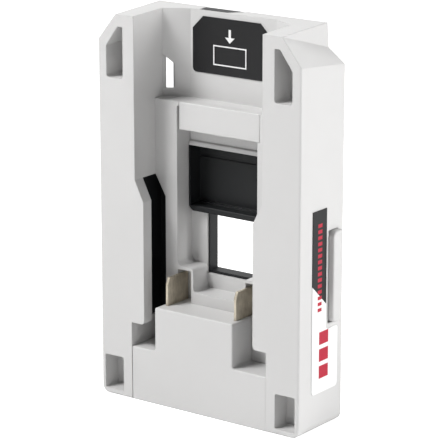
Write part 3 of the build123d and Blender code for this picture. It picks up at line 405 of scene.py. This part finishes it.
PACK_LEFT, PACK_RIGHT = -8.2, 5.8
PACK_LOW, PACK_HIGH = 119.5, 126.5
LINE = 0.45
ARROW_TIP = 127.6
ARROW_HEAD_TALL = 2.0
ARROW_TOP = 132.4
STEM_HALF = 0.5


def box_mask(u, v, low, high):
    """1 inside a rectangle between two corners, on two wires in millimetres."""
    return u.between(low[0], high[0]) * v.between(low[1], high[1])


def film(finish, tone):
    """The glossy skin of a printed film."""
    rubbed = finish.noise(4.0, 3.0)
    return finish.skin(Base_Color=tone, Roughness=rubbed * FILM_SPREAD + FILM_ROUGHNESS,
                       Specular_IOR_Level=FILM_SHINE,
                       Normal=finish.relief(finish.noise(1.2), 0.002, 0.1))


front_print = Finish("label_black")
front_x, _, front_z = front_print.coordinates()
outer = box_mask(front_x, front_z, (PACK_LEFT, PACK_LOW), (PACK_RIGHT, PACK_HIGH))
inner = box_mask(front_x, front_z, (PACK_LEFT + LINE, PACK_LOW + LINE),
                 (PACK_RIGHT - LINE, PACK_HIGH - LINE))
pack_outline = outer * (1 - inner)
pack_middle = (PACK_LEFT + PACK_RIGHT) / 2
stem = box_mask(front_x, front_z, (pack_middle - STEM_HALF, ARROW_TIP + ARROW_HEAD_TALL),
                (pack_middle + STEM_HALF, ARROW_TOP))
over_tip = front_z - ARROW_TIP
off_middle = front_x.math("ABSOLUTE", front_x - pack_middle)
arrow_head = over_tip.between(0, ARROW_HEAD_TALL) * (off_middle < over_tip)
ink = pack_outline.most(stem).most(arrow_head)
label_black = film(front_print, ink.mix(INK_BLACK, INK_WHITE))
print("front label drawn")

# %% [markdown]
# The side label is white film with a black head that ends in a slope, and two columns of red bars.
# The bars come from the fractional part of the height divided by their pitch, so a column of any
# length costs one node. Its limits are whole numbers of pitches, so no bar is cut.

# %% Side label
# Corners of the head's sloped end, in depth and height
HEAD_NEAR = (7.5, 51.7)
HEAD_FAR = (15.7, 44.1)
SMALL_PITCH = 2.1
SMALL_FILL = (0.2, 0.8)
SMALL_DEPTHS = (10.4, 12.8)
SMALL_HEIGHTS = (20 * SMALL_PITCH, 35 * SMALL_PITCH)
LARGE_PITCH = 6.0
LARGE_FILL = (0.1, 0.85)
LARGE_DEPTHS = (11.5, 17.0)
LARGE_HEIGHTS = (3 * LARGE_PITCH, 6 * LARGE_PITCH)

side_print = Finish("label_white")
_, side_y, side_z = side_print.coordinates()
side_depth = side_y + HALF_DEPTH


def bar_column(pitch, fill, depths, heights):
    """A column of bars: 1 where height / pitch has a fraction within the fill, inside the column."""
    bars = side_z.math("FRACT", side_z * (1 / pitch)).between(*fill)
    return bars * side_depth.between(*depths) * side_z.between(*heights)


slope = (HEAD_FAR[1] - HEAD_NEAR[1]) / (HEAD_FAR[0] - HEAD_NEAR[0])
head_end = (side_depth - HEAD_NEAR[0]) * slope + HEAD_NEAR[1]
black_head = side_z > head_end
red = bar_column(SMALL_PITCH, SMALL_FILL, SMALL_DEPTHS, SMALL_HEIGHTS).most(
    bar_column(LARGE_PITCH, LARGE_FILL, LARGE_DEPTHS, LARGE_HEIGHTS))
paper = black_head.mix(INK_WHITE, INK_BLACK)
label_white = film(side_print, red.mix(paper, INK_RED))
print("side label drawn")

# %% [markdown]
# The construction model's springs are plain coils. A real compression spring is wound so that its end
# turns lie flat and close. A curve with a round bevel could draw one, but a computed tube gives the
# fading pitch and the closed ends in one formula. Each spring is built at one length and moves with
# the housing.

# %% Wound springs
LATCH_SPRING = {"radius": 1.75, "wire": 0.5, "turns": 5.5}
BUTTON_SPRING = {"radius": 1.9, "wire": 0.5, "turns": 5.5}
WIRE_STEPS = 420
WIRE_SIDES = 14
SHELF_Z = 99.2
RECESS_TOP = 105.4
LATCH_SPRING_X = 9.0
LATCH_SPRING_DEPTH = 17.9
BUTTON_INNER = 32.3
BUTTON_OUTER = 38.4
BUTTON_SPRING_DEPTH = 17.7
BUTTON_MIDDLE_Z = 53.2
RIGHT = np.array([1.0, 0.0, 0.0])
BACK = np.array([0.0, 1.0, 0.0])
UP = np.array([0.0, 0.0, 1.0])


def tube_faces(rows, columns):
    """The quads of a tube of rings, and one many-sided face over each end."""
    row, column = np.meshgrid(np.arange(rows - 1), np.arange(columns), indexing="ij")
    after = (column + 1) % columns
    corners = [row * columns + column, row * columns + after,
               (row + 1) * columns + after, (row + 1) * columns + column]
    sides = np.stack(corners, axis=-1).reshape(-1, 4).tolist()
    first_ring = list(range(columns))
    last_ring = list(range((rows - 1) * columns, rows * columns))
    return sides + [first_ring[::-1], last_ring]


def wound_spring(name, start, along, aside, length, radius, wire, turns):
    """A tube along a helix. The centre line runs at the radius round the axis while its rise along the
    axis follows s - sin(2 pi s) / (2 pi), which is flat at both ends. The tube's ring is set out from the
    axis's own direction and the direction away from the axis."""
    run = np.linspace(0, 1, WIRE_STEPS)
    angle = 2 * np.pi * turns * run
    rise = wire / 2 + (length - wire) * (run - np.sin(2 * np.pi * run) / (2 * np.pi))
    other = np.cross(along, aside)
    outward = np.outer(np.cos(angle), aside) + np.outer(np.sin(angle), other)
    centre = start + np.outer(rise, along) + radius * outward
    ring = 2 * np.pi * np.arange(WIRE_SIDES) / WIRE_SIDES
    skin = (centre[:, None, :]
            + wire / 2 * np.cos(ring)[None, :, None] * outward[:, None, :]
            - wire / 2 * np.sin(ring)[None, :, None] * along)
    return surface_object(name, skin.reshape(-1, 3) * MM, tube_faces(WIRE_STEPS, WIRE_SIDES))


def placed(across, depth, height):
    """A point in millimetres in the shared frame, as an array."""
    return np.array([across, depth - HALF_DEPTH, height], float)


def take_over(piece, node, finish):
    """Gives a new piece its finish, and puts it in a node's place on the housing."""
    piece.data.materials.append(finish)
    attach(piece, "housing")
    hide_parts(node)


latch_length = RECESS_TOP - SHELF_Z
button_length = BUTTON_OUTER - BUTTON_INNER
for side_name, side in (("left", -1), ("right", 1)):
    latch_coil = wound_spring(f"latch_coil_{side_name}",
                              placed(side * LATCH_SPRING_X, LATCH_SPRING_DEPTH, SHELF_Z),
                              UP, RIGHT, latch_length, **LATCH_SPRING)
    take_over(latch_coil, f"latch_spring_{side_name}", spring_steel)
    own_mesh(latch_coil)

    button_coil = wound_spring(f"button_coil_{side_name}",
                               placed(side * BUTTON_INNER, BUTTON_SPRING_DEPTH, BUTTON_MIDDLE_Z),
                               side * RIGHT, side * BACK, button_length, **BUTTON_SPRING)
    take_over(button_coil, f"button_spring_{side_name}", spring_steel)
    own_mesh(button_coil)

# %% [markdown]
# The screws hold the rear cover, the rear frame and the terminal cover. Each is a profile turned round
# its axis, with two reliefs: a cross recess sunk into the head, and a thread that runs round the shank.
# Cutting the recess out of a solid head would leave long thin faces, while a relief keeps an even grid.

# %% Screws
HEAD_RADIUS = 2.5
HEAD_TALL = 1.6
HEAD_DOME = 0.12          # how far the head's middle stands above its rim
HEAD_FLAT = 2.1           # radius at which the rim starts to round off
SHANK_RADIUS = 1.3
SHANK_LENGTH = 10.0
THREAD_PITCH = 0.9
THREAD_DEEP = 0.25
POINT_LENGTH = 1.0        # plain end of the shank
POINT_RADIUS = 0.5
AXIS_RADIUS = 0.02        # the surface stays this far off the axis
RECESS_REACH = 1.25
RECESS_HALF_WIDE = 0.3
RECESS_DEEP = 0.9
RECESS_END = 0.25         # how long the end of an arm takes to fade out
RECESS_WALL = 0.12        # how wide an arm's sloped wall is
SCREW_SIDES = 72
HEAD_RINGS = 44
RIM_RINGS = 8
SHANK_RINGS = 90
FIRST_TURN = 0.3          # how far each screw was driven, so that no two recesses line up
NEXT_TURN = 0.7
# Depth of the heads' rear faces, and the screws' places on the right, for each group
SCREW_SETS = {
    "rear_cover_screws": (25.3, [(36.0, 24.0), (36.0, 100.0)]),
    "frame_screws": (25.4, [(22.2, 91.0), (19.9, 57.0)]),
    "terminal_cover_screws": (22.4, [(23.0, 9.0)]),
}


def cross_arm(along, beside):
    """How deep one arm of the cross recess is, from 0 to 1, at points along and beside the arm."""
    length_mask = np.clip((RECESS_REACH - np.abs(along)) / RECESS_END, 0, 1)
    return length_mask * np.clip((RECESS_HALF_WIDE - np.abs(beside)) / RECESS_WALL + 0.5, 0, 1)


def screw_surface(turned):
    """A screw's points round its axis, as across, below the head's top, and up. A profile of radius
    and depth is turned round the axis. Inside the head the depth grows where the point lies in a cross.
    On the shank the radius shrinks by a triangle wave of depth / pitch - angle, which is a thread."""
    angle = 2 * np.pi * np.arange(SCREW_SIDES) / SCREW_SIDES
    tip = HEAD_TALL + SHANK_LENGTH
    rim = HEAD_RADIUS - HEAD_FLAT
    head = np.linspace(AXIS_RADIUS, HEAD_FLAT, HEAD_RINGS)
    turn = np.linspace(0, np.pi / 2, RIM_RINGS + 1)[1:]
    shank = np.linspace(HEAD_TALL, tip - POINT_LENGTH, SHANK_RINGS)
    radius = np.concatenate([head, HEAD_FLAT + rim * np.sin(turn), [HEAD_RADIUS, SHANK_RADIUS],
                             np.full(shank.size, SHANK_RADIUS), [POINT_RADIUS, AXIS_RADIUS]])
    deep = np.concatenate([HEAD_DOME * (head / HEAD_FLAT) ** 2,
                           HEAD_DOME + rim * (1 - np.cos(turn)),
                           [HEAD_TALL, HEAD_TALL], shank, [tip - POINT_LENGTH / 5, tip]])
    radius = radius[:, None] * np.ones(SCREW_SIDES)
    deep = deep[:, None] * np.ones(SCREW_SIDES)
    across = radius * np.cos(angle)
    up = radius * np.sin(angle)
    cross = np.maximum(cross_arm(across, up), cross_arm(up, across))
    in_head = np.arange(radius.shape[0])[:, None] < HEAD_RINGS
    deep = deep + np.where(in_head, cross * RECESS_DEEP, 0.0)
    on_shank = (deep > HEAD_TALL + AXIS_RADIUS) & (deep < tip - POINT_LENGTH)
    wave = np.abs(np.mod(deep / THREAD_PITCH - angle / (2 * np.pi), 1.0) * 2 - 1)
    shrink = np.where(on_shank, 1 - THREAD_DEEP / SHANK_RADIUS * wave, 1.0)
    return (shrink * radius * np.cos(angle + turned), deep, shrink * radius * np.sin(angle + turned))


for set_name, (head_depth, spots) in SCREW_SETS.items():
    both_sides = [(side * across, up) for side in (1, -1) for across, up in spots]
    screws = []
    for number, (middle_across, middle_up) in enumerate(both_sides):
        across, deep, up = screw_surface(NEXT_TURN * number + FIRST_TURN)
        screws.append(np.stack([middle_across + across, head_depth - deep - HALF_DEPTH,
                                middle_up + up], axis=-1).reshape(-1, 3) * MM)
    one_screw = tube_faces(*across.shape)
    faces = [[number * len(screws[0]) + corner for corner in face]
             for number in range(len(screws)) for face in one_screw]
    screw_group = surface_object(f"{set_name}_turned", np.concatenate(screws), faces)
    take_over(screw_group, set_name, screw_steel)
    print(set_name, len(screw_group.data.polygons), "faces")

# %% [markdown]
# Each construction piece keeps its shape and takes the finish of its material slot. The slots come
# from the record, so a piece that changes its slot there changes its look here without an edit.

# %% Dress the construction pieces
finishes = {
    "housing_plastic": housing_plastic,
    "black_plastic": black_plastic,
    "insulator_plastic": insulator_plastic,
    "contact_metal": contact_metal,
    "spring_steel": spring_steel,
    "screw_steel": screw_steel,
    "label_black": label_black,
    "label_white": label_white,
}
for subpart in frame["record"]["subparts"]:
    piece = nodes[subpart["node"]]
    piece.data.materials.clear()
    piece.data.materials.append(finishes[subpart["material_slot"]])
